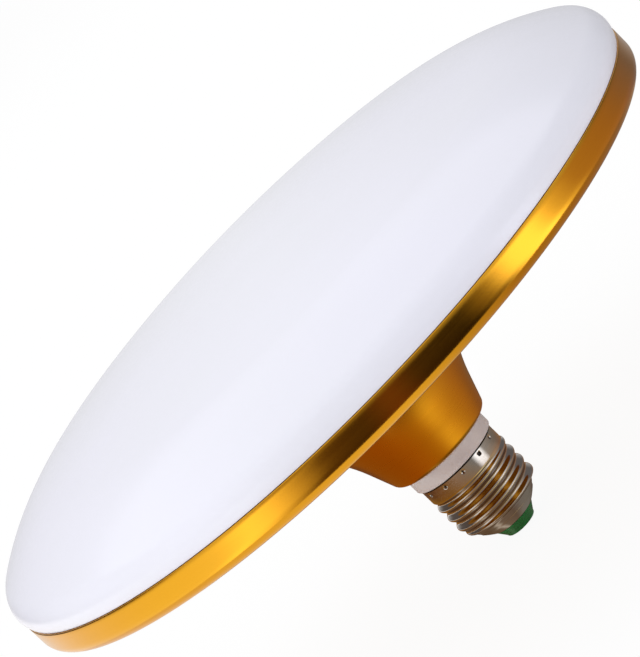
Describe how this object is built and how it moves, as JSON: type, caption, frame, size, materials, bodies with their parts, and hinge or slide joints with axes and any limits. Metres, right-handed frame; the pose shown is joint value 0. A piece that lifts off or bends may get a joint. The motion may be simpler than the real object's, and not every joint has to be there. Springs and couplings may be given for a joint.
{
  "type": "led disc lamp",
  "caption": "Screw-in disc lamp: opal dome on a wide gold metal pan with a flared neck, a white collar and an E27 screw cap.",
  "frame": {"origin": "tip of the centre contact on the lamp's axis, the lowest point with the cap down", "axes": "+Z along the lamp's axis from the contact up to the dome; -Y towards the side the picture shows"},
  "size_m": [0.2208, 0.2208, 0.1079],
  "materials": {
    "opal": "opal polycarbonate, glossy",
    "gold_metal": "gold anodised spun aluminium, satin",
    "white_plastic": "white flame-retardant plastic",
    "nickel": "nickel plating",
    "green_plastic": "green moulded insulator",
    "board_white": "metal board with white solder mask",
    "led_package": "white package with yellow phosphor",
    "screw_steel": "zinc plated steel",
    "header_white": "natural nylon",
    "board_green": "glass-fibre board with green mask",
    "resistor_body": "coated resistor body",
    "black_plastic": "moulded epoxy package",
    "can_sleeve": "shrink sleeve on an aluminium can",
    "film_yellow": "film capacitor case",
    "ferrite": "ferrite",
    "winding_tape": "taped copper winding",
    "lead_red": "insulated copper wire",
    "lead_blue": "insulated copper wire",
    "lead_black": "insulated copper wire"
  },
  "bodies": {
    "root": {"diffuser": "opal", "housing": "gold_metal", "sleeve": "white_plastic", "lock_nut": "white_plastic", "screw_cap": "nickel", "cap_insulator": "green_plastic", "centre_contact": "nickel", "led_board": "board_white", "led_ring_inner": "led_package", "led_ring_middle": "led_package", "led_ring_outer": "led_package", "board_screws": "screw_steel", "lead_header": "header_white", "driver_board": "board_green", "fuse_resistor": "resistor_body", "bridge_rectifier": "black_plastic", "input_capacitor": "can_sleeve", "output_capacitor": "can_sleeve", "film_capacitor": "film_yellow", "driver_chip": "black_plastic", "output_diode": "black_plastic", "inductor_core": "ferrite", "inductor_winding": "winding_tape", "live_lead": "lead_red", "neutral_lead": "lead_blue", "positive_lead": "lead_red", "negative_lead": "lead_black"}
  },
  "joints": []
}
